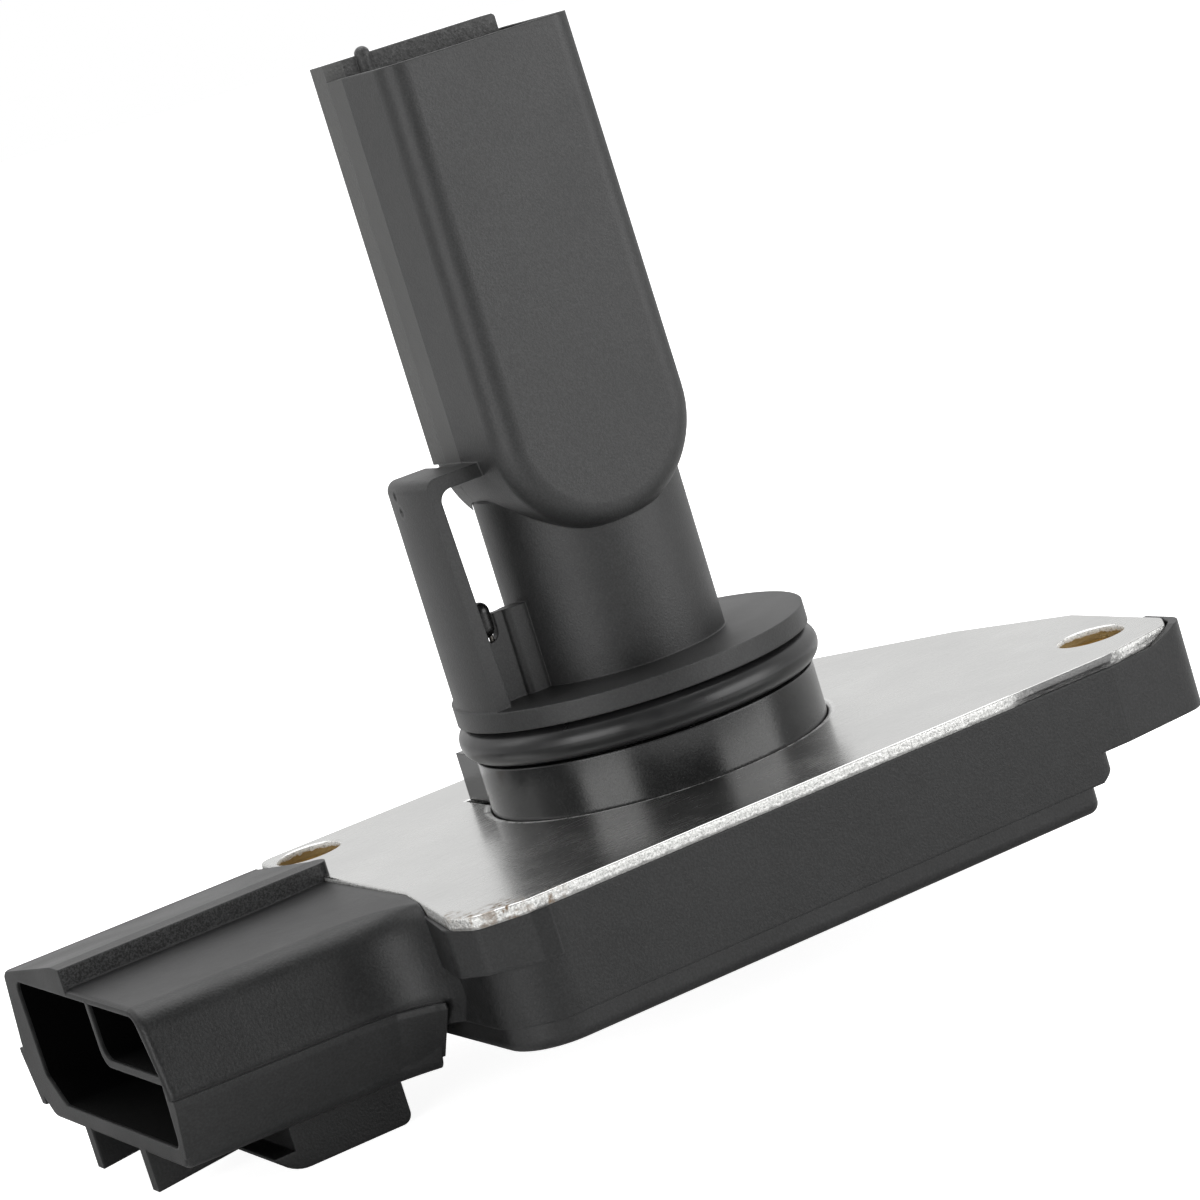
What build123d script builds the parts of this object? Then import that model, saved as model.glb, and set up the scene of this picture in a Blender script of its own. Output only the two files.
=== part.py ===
from build123d import *
import math
import os

# Plug-in mass airflow sensor, in millimetres.
# Z runs up the probe, X along the housing away from the connector, and Y from the long near
# side to the far side. The origin is on the spigot's axis, on the base plate's top face.

# General clearances
fit_gap = 0.05            # between moulded pieces that are seated in each other
slip_gap = 0.15           # around pieces dropped into a pocket
sink = 1.0                # how far a rib runs into the wall it stands on

# Base plate, blanked from aluminium sheet
plate_t = 1.0
plate_near = 26.2         # from the spigot's axis to the long near edge
plate_far = 20.7          # from the axis to the far edge
plate_right = 34.65       # from the axis to the right-hand tip
plate_left = 27.6         # from the axis to the edge along the connector
plate_corner = 29.9       # from the axis to the near left corner
near_run_left = 25.4      # where the near edge turns at its left end
near_run_right = 26.2     # where the near edge turns at its right end
tip_facet_x = 33.2
tip_facet_y = 24.3
tip_near = 21.9
tip_far = 9.2
waist = (29.9, 1.7)
far_turn_x = 17.0
left_turn_y = 9.7
corner_y = 22.2
corner_facet = (29.2, 24.9)
plate_corner_r = 1.4

# Screw holes and their brass bushes
screw_hole_r = 2.7        # through the plate and the bushes
bush_wall = 0.6
right_hole = (30.1, -18.4)
left_hole = (-24.4, 16.9)
boss_wall = 1.9           # plastic round a bush
screw_head_r = 5.4        # room left for a screw's head below the left hole

# Spigot that the air duct's hole takes, with its ring groove and top flange
spigot_r = 13.85
gland_z = 4.2             # floor of the ring groove
gland_w = 3.15
gland_r = 11.85
disc_t = 1.6
disc_r = 14.43
ring_d = 2.85             # section of the rubber ring
foot_r = 16.4             # flange below the plate
foot_t = 1.4
plate_hole_gap = 0.1
lug_x = 11.5              # locating lug beside the spigot
lug_y = 12.2
lug_w = 2.6
lug_h = 4.0
lug_gap = 0.3

# Neck
neck_r = 8.13
neck_bore_r = 5.2
neck_top = 24.0
bore_top = 18.6

# Sampling head
head_cx = -0.95
head_left = -9.1
head_right = 7.5          # right side at the top
head_low_right = 7.8      # right side where the round end begins
head_arc_z = 28.3         # centre of the round lower end
head_front = 8.9          # from the axis to the front face
head_joint = 1.6          # from the axis to the joint with the head cover
head_top = 58.3
head_wall = 1.25
head_edge_r = 2.0
flare_start = -0.9        # where the left side starts to lean outwards
flare_out = 0.36
cover_t = 2.0
cover_top = 59.6
rib_x = -5.75
rib_r = 0.62
rib_top = 60.2
tab_right = 6.0           # end of the cover's top edge, inside the shell's right wall
tab_r = 0.35
rib_foot_z = 31.0
inlet_w = 8.0
inlet_h = 9.0
inlet_z = 33.5
inlet_r = 1.5

# Guard strap over the air temperature sensor
strap_foot_t = 1.3
strap_tip_t = 0.8
strap_half_y = 3.85
strap_top = 27.6
strap_set = 0.15          # from the top flange's edge in to the strap's face
bar_t = 1.1
strap_corner_r = 0.9
strap_inner_r = 1.0

# Cradle and bead of the air temperature sensor
post_x0 = -9.96
post_front = -2.0
post_t = 1.6
post_top = 15.9
post_edge_r = 0.7
cradle_y = -1.6
cradle_t = 0.9
cradle_top = 17.2
notch_x = -11.5
notch_r = 0.85
notch_z = 14.6
bead_r = 0.78
bead_lift = 0.4           # clear under the bead in its notch
bead_len = 2.9
lead_r = 0.18
lead_gap = 0.62
lead_depth = 1.2

# Housing moulding
edge_set = 0.05           # from the plate's near edge in to the moulding's near face
seat_turn_x = 23.8        # where the flange's near edge turns at its left end
corner_pad = 0.4          # how far the flange's left corner stands out of the near face
seat_corner_x = (25.2, 28.7, 30.1)    # turns of the flange's rounded left corner
seat_corner_drop = (0.0, 2.4, 4.9)    # how far each turn lies behind the near face
tip_corner_x = 35.1       # right-hand face of the moulding at its tip
tip_corner_y = 25.0
tip_corner_r = 2.9
tip_step_y = (19.0, 17.0) # where the tip's face steps back to the plate's edge
step_r = 0.3
rim_w = 0.75              # rim round the plate's tip
rim_gap = 0.12            # between the rim and the plate
rim_top = -0.1
rim_from_x = 30.8
rim_full_x = 33.6
flange_z = -4.7           # underside of the plate's seat
ear_z = -7.0              # underside of the ears under the screw holes
ear_x = 18.0
body_right = 24.3
body_left = 28.5
body_far = 18.4
body_corner_r = 5.0
body_end_r = 1.0          # corner radius at the right-hand end
body_split = -9.2         # joint with the bottom cover
end_step_z = 0.9
end_step_x = 1.3
side_wall = 1.8
roof_t = 1.4

# Bottom cover
lid_inset = 0.3
lid_end = 22.55
lid_z = -11.3
lid_t = 1.5
lid_edge_r = 0.9
lid_end_r = 0.9           # corners of the lid's right-hand end
lid_lip_h = 1.2
lid_lip_t = 0.9

# Connector shroud
mouth_x = -50.2
mouth_edge_r = 0.5
root_x = -27.6
root_low_x = -29.9        # end of the shroud below the housing's joint
conn_top = -0.5
conn_bottom = -12.85
conn_mid = -7.0           # height at which the shroud is widest
conn_near_top = -9.4
conn_near_mid = -11.3
conn_near_bottom = -10.3
conn_far_top = 21.5
conn_far_mid = 23.1
conn_far_low = (22.2, -10.9)
conn_far_bottom = 19.9
conn_corner_r = (1.5, 1.2, 1.5, 1.5, 1.0, 0.8)    # other corners, near middle first
conn_stations = [         # X, near side out, its foot out, near top corner's radius and rise
    (-50.2, 0.0, 0.0, 2.4, 0.0),
    (-35.5, 1.1, 1.1, 2.6, 0.0),
    (-32.6, 1.7, 1.4, 2.8, 0.05),
    (-30.2, 3.4, 2.0, 2.9, 0.2),
    (-28.45, 6.6, 2.6, 2.9, 0.4),
]
wedge_y = 6.1             # foot of the raised far half of the top
wedge_z = 1.1
wedge_inset = 1.0         # from the shroud's far top corner in to the wedge's far foot
finger_x = -26.8
finger_w = 2.2
cavity_end = -37.0
cavity_points = [(-8.6, -1.05), (-10.5, -5.8), (-9.8, -11.25), (15.8, -11.25), (18.7, -9.0),
                 (18.7, -1.05)]
cavity_edge_r = 1.1
divider_y = 1.9
divider_z = -6.1
divider_t = 0.6
divider_r = 1.4
divider_reach = -12.0
ledge_z = -7.3
ledge_h = 4.6
ledge_out = 0.5
ledge_stations = 4        # stations of the shroud that the ledge runs past
ledge_end = (-29.6, 4.3, 2.2)         # its end: X, near side let out and its foot let out
ledge_flat = 0.5
ledge_slope = 1.35        # how far the ledge's sloping foot runs in
ledge_root = 0.9          # how far the ledge's foot reaches into the wall
ledge_depth = 2.4
guide_y = (-0.5, 11.9)
guide_w = 1.4
guide_z = -15.9
boss_near = -7.0
boss_w = 12.0
boss_x0 = -43.2
boss_x1 = -31.5
boss_z = -17.1
boss_r = 3.0
boss_back_r = 0.8
boss_wall = 0.4           # between the boss's slot and the shroud
guide_reach = 4.0         # how far the guide ribs run past the boss's front
guide_rise = 1.0          # how much lower the ribs are at the mouth
boss_slot_x = -41.0
boss_slot_w = 2.2
boss_slot_h = 2.3

# Terminals
pin_count = 6
pin_pitch = 2.8
pin_first_y = -2.8
pin_w = 1.5
pin_t = 0.64
pin_z = -8.7
pin_inner_z = -6.2
pin_tip_x = -46.0
pin_crank_x = -32.0
pin_bend_x = -18.0
tail_out = 0.4            # how far a tail stands out of the board
solder_foot_r = 1.0
solder_tip_r = 0.55
solder_h = 0.6

# Circuit board and what is on it
board_t = 1.0
board_top = -3.6
board_gap = 1.1           # between the board's edges and the housing's walls
board_x1 = 18.0
board_notch_r = 8.0       # room round the left screw hole
board_post_r = 1.6
board_post_edge = 2.2     # from the board's edges to a post's centre
left_post_y = -4.4
parts_margin = 1.5        # from the board's near edge to the row of large parts
chip_x = -12.0
chip_size = 8.0
chip_t = 1.6
transistor_x = 8.0
transistor_w = 6.5
transistor_l = 9.0
transistor_t = 2.2
cap_count = 4
cap_first_x = -6.0
cap_pitch = 3.0
cap_w = 1.6
cap_l = 3.2
cap_t = 1.4
resistor_first = (-15.0, -2.0)
resistor_pitch = (3.0, 4.0)
resistor_w = 1.2
resistor_l = 2.0
resistor_t = 0.55

# Sensing elements in the head
carrier_z0 = 9.0
stem_r = 0.3
stem_y = -1.4
wire_stem_span = 5.0
wire_z = 38.0
ref_stem_span = 3.4
ref_z = 34.0
ref_y = -3.9
element_r = 0.45

gland_top = gland_z + gland_w
disc_top = gland_top + disc_t
seat_z = -plate_t
roof_z = seat_z - roof_t
cover_back = head_joint + cover_t
strap_r = disc_r - strap_set
seat_near = plate_near - edge_set
board_x0 = -(body_left - side_wall - board_gap)
board_y0 = -(seat_near - side_wall - board_gap)
board_y1 = body_far - side_wall - board_gap


def box(x0, x1, y0, y1, z0, z1):
    """Box between two corners."""
    size = (x1 - x0, y1 - y0, z1 - z0)
    centre = ((x0 + x1) / 2, (y0 + y1) / 2, (z0 + z1) / 2)
    return Pos(*centre) * Box(*size)


def rod(x, y, z0, z1, radius):
    """Upright cylinder between two heights."""
    return Pos(x, y, (z0 + z1) / 2) * Cylinder(radius, z1 - z0)


def slab(face, z0, z1):
    """Plan outline extruded between two heights."""
    return extrude(Pos(0, 0, z0) * face, amount=z1 - z0, dir=(0, 0, 1))


def filleted_plan(points, radius):
    """Plan outline with every corner rounded."""
    face = make_face(Polyline(*points, close=True))
    return fillet(face.vertices(), radius)


def round_corners(points, radii):
    """Plan outline whose corners have radii of their own, with 0 for a sharp one."""
    face = make_face(Polyline(*points, close=True))
    for (x, y), radius in zip(points, radii):
        if radius:
            face = fillet(face.vertices().sort_by_distance((x, y, 0))[0], radius)
    return face


def plate_points():
    """Corners of the plate, anticlockwise from the left end of the near edge."""
    return [
        (-near_run_left, -plate_near),
        (near_run_right, -plate_near),
        (tip_facet_x, -tip_facet_y),
        (plate_right, -tip_near),
        (plate_right, -tip_far),
        waist,
        (far_turn_x, plate_far),
        (-plate_left, plate_far),
        (-plate_left, -left_turn_y),
        (-plate_corner, -corner_y),
        (-corner_facet[0], -corner_facet[1]),
    ]


def seat_plan():
    """Plan of the housing's flange, flush with the plate but cut back at one corner."""
    near = [
        (-seat_turn_x, -(seat_near + corner_pad)),
        (-seat_turn_x, -seat_near),
        (near_run_right, -seat_near),
    ]
    tip = [
        (tip_corner_x, -tip_corner_y),
        (tip_corner_x, -tip_step_y[0]),
        (plate_right, -tip_step_y[1]),
    ]
    corner = []
    for x, drop in zip(seat_corner_x, seat_corner_drop):
        corner.append((-x, drop - seat_near))
    points = near + tip + plate_points()[4:9] + corner[::-1]
    radii = [0, 0, plate_corner_r, tip_corner_r, step_r, step_r]
    radii += [plate_corner_r] * 5 + [plate_corner_r, plate_corner_r, step_r]
    return round_corners(points, radii)


def body_plan(inset):
    """Plan of the electronics box, drawn in by an inset and clear of the left screw's head."""
    x0 = -body_left + inset
    x1 = body_right - inset
    y0 = -seat_near + inset
    y1 = body_far - inset
    face = Pos((x0 + x1) / 2, (y0 + y1) / 2) * Rectangle(x1 - x0, y1 - y0)
    left = face.vertices().sort_by(Axis.X)[:2]
    face = fillet(left, max(body_corner_r - inset, 0.5))
    right = face.vertices().sort_by(Axis.X)[-2:]
    face = fillet(right, max(body_end_r - inset / 2, 0.3))
    return face - Pos(*left_hole) * Circle(screw_head_r + inset)


def tongue(inset):
    """Front outline of the head, flat at the top and round below, drawn in by an inset."""
    left = head_left + inset
    low_right = head_low_right - inset
    round_end = Pos((left + low_right) / 2, head_arc_z) * Circle((low_right - left) / 2)
    shank = make_face(Polyline(
        (left, head_arc_z), (low_right, head_arc_z), (head_right - inset, head_top),
        (left, head_top), close=True))
    return round_end + shank


def stand(face, y0, y1):
    """Front outline extruded from y0 to y1."""
    upright = Plane(origin=(0, y0, 0), x_dir=(1, 0, 0), z_dir=(0, -1, 0))
    return extrude(upright * face, amount=y1 - y0, dir=(0, 1, 0))


def base_plate():
    face = filleted_plan(plate_points(), plate_corner_r)
    plate = slab(face, -plate_t, 0)
    plate -= rod(0, 0, -plate_t, 0, spigot_r + plate_hole_gap)
    plate -= lug_block(lug_gap, -plate_t, 0)
    for x, y in (right_hole, left_hole):
        plate -= rod(x, y, -plate_t, 0, screw_hole_r)
    return plate


def screw_bushes():
    """Brass compression sleeve in each ear."""
    bushes = []
    for x, y in (right_hole, left_hole):
        sleeve = rod(x, y, ear_z, seat_z, screw_hole_r + bush_wall)
        sleeve -= rod(x, y, ear_z, seat_z, screw_hole_r)
        bushes.append(sleeve)
    return bushes


def lug_block(gap, z0, z1):
    """Locating lug beside the spigot, grown by a gap."""
    x0 = -lug_x - gap
    x1 = -lug_x + lug_w + gap
    return box(x0, x1, lug_y / 2, lug_y + gap, z0, z1)


def spigot_profile():
    """Half section of the spigot, from the foot flange up to the top flange."""
    points = [
        (0, roof_z),
        (foot_r, roof_z),
        (foot_r, seat_z),
        (spigot_r, seat_z),
        (spigot_r, gland_z),
        (gland_r, gland_z),
        (gland_r, gland_top),
        (disc_r, gland_top),
        (disc_r, disc_top),
        (0, disc_top),
    ]
    upright = Plane.XZ
    return upright * make_face(Polyline(*points, close=True))


def head_flare(y0, y1, z0, z1):
    """Wedge by which the left side leans out towards the back."""
    run = cover_back - flare_start
    out0 = flare_out * (y0 - flare_start) / run
    out1 = flare_out * (y1 - flare_start) / run
    points = [
        (head_left + head_wall / 2, y0),
        (head_left - out0, y0),
        (head_left - out1, y1),
        (head_left + head_wall / 2, y1),
    ]
    face = make_face(Polyline(*points, close=True))
    return slab(face, z0, z1)


def head_shell():
    """Front half of the head: a tray open at its back and its top."""
    shell = stand(tongue(0), -head_front, head_joint)
    front_edges = shell.edges().group_by(Axis.Y)[0]
    soft = [e for e in front_edges if e.center().Z < head_top - 0.01]
    shell = fillet(soft, head_edge_r)
    shell += head_flare(flare_start, head_joint, strap_top, head_top)
    return shell


def head_channel():
    """Air passage inside the head, open at the top."""
    hollow = stand(tongue(head_wall), -head_front + head_wall, head_joint)
    return hollow + Pos(0, 0, 3) * hollow


def guard_strap():
    """Curved strap from the top flange up to the head, with the bar that joins it."""
    strap_z = disc_top - disc_t / 2
    ring = rod(0, 0, strap_z, strap_top, strap_r)
    inside_h = strap_top - bar_t - strap_z
    inside = Pos(0, 0, strap_z + inside_h / 2) * Cone(
        strap_r - strap_foot_t, strap_r - strap_tip_t, inside_h)
    inside = fillet(inside.edges().group_by(Axis.Z)[-1], strap_inner_r)
    tight = ring - inside
    window = box(-disc_r - 1, head_left + 0.6, -strap_half_y, strap_half_y, strap_z, strap_top)
    strap = tight & window
    top_edges = strap.edges().filter_by(GeomType.CIRCLE).group_by(Axis.Z)[-1]
    strap = fillet(top_edges.sort_by(lambda e: e.radius)[-1], strap_corner_r)
    keep_clear = box(head_left - 2 * fit_gap, head_left + 1.0, head_joint - fit_gap,
                     strap_half_y + 1, strap_top - bar_t - 1, strap_top + 1)
    return strap - keep_clear


def bead_cradle():
    """Post and notched wall that hold the temperature bead on the top flange."""
    z0 = disc_top - disc_t / 2
    inner = -math.sqrt(neck_r ** 2 - post_front ** 2) + 0.4
    post = box(post_x0, inner, post_front, post_front + post_t, z0, post_top)
    post = fillet(post.edges().filter_by(Axis.Z), post_edge_r)
    wall_x0 = -math.sqrt((strap_r - strap_tip_t) ** 2 - (cradle_y + cradle_t) ** 2)
    back = cradle_y + cradle_t
    left = box(wall_x0, notch_x, cradle_y, back, z0, cradle_top)
    right = box(notch_x, inner, cradle_y, back, z0, post_top)
    notch = box(notch_x - notch_r, notch_x + notch_r, cradle_y, back, notch_z, cradle_top)
    round_foot = Pos(notch_x, (cradle_y + back) / 2, notch_z) * Rot(90, 0, 0) * Cylinder(
        notch_r, cradle_t)
    return post + (left + right - notch - round_foot)


def lead_places():
    """Centres of the bead's two leads in plan."""
    y = cradle_y + cradle_t / 2
    half = lead_gap / 2
    return [(notch_x - half, y), (notch_x + half, y)]


def stem_places():
    """Plan places and top heights of the four stems in the head."""
    wire = wire_stem_span / 2
    ref = ref_stem_span / 2
    return [
        (head_cx - wire, stem_y, wire_z),
        (head_cx + wire, stem_y, wire_z),
        (head_cx - ref, ref_y, ref_z),
        (head_cx + ref, ref_y, ref_z),
    ]


def probe():
    """One moulding: foot, spigot, top flange, neck, guard strap and head shell."""
    body = revolve(spigot_profile(), Axis.Z)
    body += lug_block(0, 0, lug_h) - rod(0, 0, 0, lug_h, gland_r)
    body += rod(0, 0, disc_top - disc_t, neck_top, neck_r)
    body += guard_strap()
    body += bead_cradle()
    body += head_shell()
    behind = box(head_left - 1, head_right + 1, head_joint, neck_r + 1,
                 neck_top - 0.01, cover_top + 1)
    body -= behind
    body -= head_channel()
    body -= rod(0, 0, roof_z - 1, bore_top, neck_bore_r)
    for x, y, top in stem_places():
        body -= rod(x, y, bore_top - 1, head_arc_z, stem_r)
    for x, y in lead_places():
        body -= rod(x, y, disc_top - lead_depth, notch_z, lead_r)
    return body


def head_cover():
    """Flat cover that closes the back of the head, with the air inlet near its foot."""
    cover = stand(tongue(0), head_joint, cover_back)
    tab = box(head_left, tab_right, head_joint, cover_back, head_top - 1, cover_top)
    corner = tab.edges().filter_by(Axis.Y).group_by(Axis.Z)[-1]
    cover += fillet(corner.sort_by(Axis.X)[-1], tab_r)
    cover += head_flare(head_joint, cover_back, strap_top + fit_gap, cover_top)
    cover -= rod(0, 0, 0, neck_top + fit_gap, neck_r + fit_gap)
    inlet = Pos(head_cx, inlet_z) * RectangleRounded(inlet_w, inlet_h, inlet_r)
    cover -= stand(inlet, head_joint - 1, cover_back + 1)
    rib = rod(rib_x, head_joint, rib_foot_z, rib_top - rib_r, rib_r)
    rib += Pos(rib_x, head_joint, rib_top - rib_r) * Sphere(rib_r)
    rib += Pos(rib_x, head_joint, rib_foot_z) * Sphere(rib_r)
    return cover + rib


def o_ring():
    mid_z = gland_z + gland_w / 2
    path_r = gland_r + ring_d / 2 + fit_gap
    return Pos(0, 0, mid_z) * Torus(path_r, ring_d / 2)


def connector_section(x, out, foot_out, near_r, raised):
    """Outline of the shroud at a station along X, with its near side let out."""
    points = [
        (conn_near_top - out, conn_top + raised),
        (conn_near_mid - out, conn_mid),
        (conn_near_bottom - foot_out, conn_bottom),
        (conn_far_bottom, conn_bottom),
        conn_far_low,
        (conn_far_mid, conn_mid),
        (conn_far_top, conn_top),
    ]
    across = Plane(origin=(x, 0, 0), x_dir=(0, 1, 0), z_dir=(1, 0, 0))
    return across * round_corners(points, (near_r,) + conn_corner_r)


def shroud_block():
    """Outside of the connector, whose near side sweeps out into the housing at its root."""
    sections = [connector_section(*station) for station in conn_stations]
    block = loft(sections[:2], ruled=True)
    block = fillet(block.faces().sort_by(Axis.X)[0].edges(), mouth_edge_r)
    block += loft(sections[1:])
    root_run = root_x - fit_gap - conn_stations[-1][0]
    block += extrude(sections[-1], amount=root_run, dir=(1, 0, 0))
    block -= box(root_low_x, root_x + 1, conn_near_mid - 15, conn_far_mid + 2,
                 conn_bottom - 1, body_split)
    return block


def shroud_top():
    """Raised far half of the shroud's top, with the finger that reaches over the plate."""
    crest = wedge_y + finger_w
    points = [
        Vector(mouth_x, wedge_y, conn_top - 1),
        Vector(mouth_x, wedge_y, wedge_z),
        Vector(mouth_x, crest, wedge_z),
        Vector(mouth_x, conn_far_top - wedge_inset, conn_top),
        Vector(mouth_x, conn_far_top - wedge_inset, conn_top - 1),
    ]
    length = root_x - fit_gap - mouth_x
    wedge = extrude(make_face(Polyline(*points, close=True)), amount=length, dir=(1, 0, 0))
    finger = box(root_x - 2, finger_x - finger_w / 2, wedge_y, crest, 0, wedge_z)
    tip = rod(finger_x - finger_w / 2, wedge_y + finger_w / 2, 0, wedge_z, finger_w / 2)
    return wedge + finger + tip


def ledge_section(x, y, run, inward):
    """Section of a ledge: a short upright face above a foot that slopes into the wall."""
    foot_y = y + (ledge_slope + run) * inward
    points = [
        Vector(x, y, ledge_z),
        Vector(x, y, ledge_z - ledge_flat),
        Vector(x, foot_y, ledge_z - ledge_h),
        Vector(x, foot_y + ledge_root * inward, ledge_z - ledge_h),
        Vector(x, y + ledge_depth * inward, ledge_z),
    ]
    return make_face(Polyline(*points, close=True))


def shroud_ledges():
    """Ledge along each side of the shroud, at its widest height."""
    near_y = conn_near_mid - ledge_out
    far_y = conn_far_mid + ledge_out
    places = [station[:3] for station in conn_stations[:ledge_stations]] + [ledge_end]
    near = loft([ledge_section(x, near_y - out, out - foot_out, 1) for x, out, foot_out in places],
                ruled=True)
    far = loft([ledge_section(mouth_x, far_y, 0, -1), ledge_section(ledge_end[0], far_y, 0, -1)])
    return near + far


def cavity_block():
    """Room inside the shroud for the plug, less the divider that keys it."""
    corners = [Vector(mouth_x - 1, y, z) for y, z in cavity_points]
    room = extrude(make_face(Polyline(*corners, close=True)),
                   amount=cavity_end - mouth_x + 1, dir=(1, 0, 0))
    long_edges = [e for e in room.edges() if abs(e.tangent_at(0.5).X) > 0.9]
    return fillet(long_edges, cavity_edge_r) - divider_wall()


def divider_wall():
    """Thin L-shaped wall that sets off the upper near corner of the mouth."""
    width = divider_y - divider_reach
    outer = Pos((divider_y + divider_reach) / 2, divider_z / 2) * Rectangle(width, -divider_z)
    low = outer.vertices().sort_by(Axis.Y)[:2]
    outer = fillet(low.sort_by(Axis.X)[-1], divider_r)
    inner = Pos(-divider_t, divider_t) * outer
    upright = Plane(origin=(mouth_x, 0, 0), x_dir=(0, 1, 0), z_dir=(1, 0, 0))
    wall = extrude(upright * outer, amount=cavity_end - mouth_x)
    return wall - extrude(upright * inner, amount=cavity_end - mouth_x)


def latch_parts():
    """Guide ribs and the latch boss below the shroud."""
    parts = []
    for y in guide_y:
        points = [
            Vector(mouth_x, y - guide_w / 2, conn_bottom + sink),
            Vector(mouth_x, y - guide_w / 2, guide_z),
            Vector(boss_x0 + guide_reach, y - guide_w / 2, guide_z + guide_rise),
            Vector(boss_x0 + guide_reach, y - guide_w / 2, conn_bottom + sink),
        ]
        parts.append(extrude(make_face(Polyline(*points, close=True)), amount=guide_w,
                             dir=(0, 1, 0)))
    boss = box(boss_x0, boss_x1, boss_near, boss_near + boss_w, boss_z, conn_bottom + sink)
    lower = boss.edges().filter_by(Axis.Y).group_by(Axis.Z)[0]
    boss = fillet(lower.sort_by(Axis.X)[0], boss_r)
    lower = boss.edges().filter_by(Axis.Y).group_by(Axis.Z)[0]
    boss = fillet(lower.sort_by(Axis.X)[-1], boss_back_r)
    slot_top = conn_bottom - boss_wall
    slot = box(boss_slot_x - boss_slot_w, boss_slot_x, boss_near - 1, boss_near + boss_w + 1,
               slot_top - boss_slot_h, slot_top)
    parts.append(boss - slot)
    return parts[0] + parts[1] + parts[2]


def ears():
    """Blocks below the flange that back up the two screw holes."""
    plan = seat_plan()
    right = box(ear_x, plate_right + 5, -plate_near - 5, plate_far + 5, ear_z, flange_z)
    x, y = left_hole
    left = rod(x, y, ear_z, flange_z, screw_hole_r + bush_wall + boss_wall)
    return slab(plan, ear_z, flange_z) & (right + left)


def tip_rim():
    """Thin rim that rises round the plate's tip."""
    y0 = -plate_near - 1
    side = [
        Vector(rim_from_x, y0, seat_z),
        Vector(rim_full_x, y0, rim_top),
        Vector(plate_right + 1, y0, rim_top),
        Vector(plate_right + 1, y0, seat_z),
    ]
    zone = extrude(make_face(Polyline(*side, close=True)),
                   amount=-tip_step_y[0] - y0, dir=(0, 1, 0))
    plan = seat_plan()
    rim = slab(plan, seat_z, rim_top) - slab(offset(plan, -rim_w), seat_z, rim_top)
    plate_face = filleted_plan(plate_points(), plate_corner_r)
    return (rim & zone) - slab(offset(plate_face, rim_gap), seat_z, 0)


def end_bevel():
    """Wedge taken off the box's lower right-hand edge."""
    y0 = -seat_near - 1
    points = [
        Vector(body_right, y0, body_split + end_step_z),
        Vector(body_right + 1, y0, body_split + end_step_z),
        Vector(body_right + 1, y0, body_split),
        Vector(body_right - end_step_x, y0, body_split),
    ]
    return extrude(make_face(Polyline(*points, close=True)), amount=seat_near + body_far + 2,
                   dir=(0, 1, 0))


def housing():
    """One moulding: the plate's seat, the electronics box and the connector shroud."""
    body = slab(seat_plan(), flange_z, seat_z)
    body += ears()
    body += tip_rim()
    body += slab(body_plan(0), body_split, seat_z) - end_bevel()
    body += shroud_block()
    body += shroud_ledges()
    body += latch_parts()
    plate_face = filleted_plan(plate_points(), plate_corner_r)
    body -= slab(offset(plate_face, fit_gap), seat_z, 1)
    body += shroud_top()
    body -= rod(0, 0, roof_z - 1, seat_z, foot_r + fit_gap)
    for x, y in (right_hole, left_hole):
        body -= rod(x, y, ear_z - 1, seat_z, screw_hole_r + bush_wall)
    body -= electronics_room()
    body -= cavity_block()
    body -= pin_bars()
    body += board_posts()
    return body


def electronics_room():
    """Space for the circuit board, open below until the bottom cover is bonded on."""
    return slab(body_plan(side_wall), body_split - 5, roof_z)


def board_posts():
    """Posts under the roof that the circuit board is bonded to."""
    inset = board_post_edge
    places = [
        (board_x0 + inset, board_y0 + inset),
        (board_x1 - inset, board_y0 + inset),
        (board_x1 - inset, board_y1 - inset),
        (board_x0 + inset, left_post_y),
    ]
    posts = [rod(x, y, board_top, roof_z, board_post_r) for x, y in places]
    return posts[0] + posts[1] + posts[2] + posts[3]


def pin_rows():
    """Y places of the connector's terminals."""
    return [pin_first_y + pin_pitch * i for i in range(pin_count)]


def pin_tail(y, z0, z1):
    """End of a terminal that stands up through the board."""
    return box(pin_bend_x - pin_t, pin_bend_x, y - pin_w / 4, y + pin_w / 4, z0, z1)


def one_pin(y):
    """Terminal cranked inside the shroud's end wall and turned up at the board."""
    half_w = pin_w / 2
    half_t = pin_t / 2
    blade = box(pin_tip_x, pin_crank_x, y - half_w, y + half_w, pin_z - half_t, pin_z + half_t)
    tip = blade.edges().filter_by(Axis.Y).group_by(Axis.X)[0]
    blade = chamfer(tip, pin_t * 0.3)
    riser = box(pin_crank_x - pin_t, pin_crank_x, y - half_w, y + half_w,
                pin_z - half_t, pin_inner_z + half_t)
    run = box(pin_crank_x - pin_t, pin_bend_x, y - half_w, y + half_w,
              pin_inner_z - half_t, pin_inner_z + half_t)
    return blade + riser + run + pin_tail(y, pin_inner_z, board_top + tail_out)


def pin_bars():
    """All terminals together, cut from the walls they are moulded into."""
    return Compound(children=connector_terminals())


def connector_terminals():
    return [one_pin(y) for y in pin_rows()]


def bottom_cover():
    """Shallow lid bonded under the electronics box, with a lip that locates it."""
    trim = box(-body_left - 1, lid_end, -seat_near - 1, body_far + 1, lid_z - 1, 0)
    lid = slab(body_plan(lid_inset), lid_z, body_split) & trim
    lid = fillet(lid.edges().filter_by(Axis.Z).group_by(Axis.X)[-1], lid_end_r)
    lid = fillet(lid.faces().sort_by(Axis.Z)[0].edges(), lid_edge_r)
    lip_out = side_wall + slip_gap
    lid -= slab(body_plan(lip_out + lid_lip_t), lid_z + lid_t, 0)
    lip = slab(body_plan(lip_out), body_split, body_split + lid_lip_h)
    lip -= slab(body_plan(lip_out + lid_lip_t), body_split, body_split + lid_lip_h)
    return lid + lip


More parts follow.
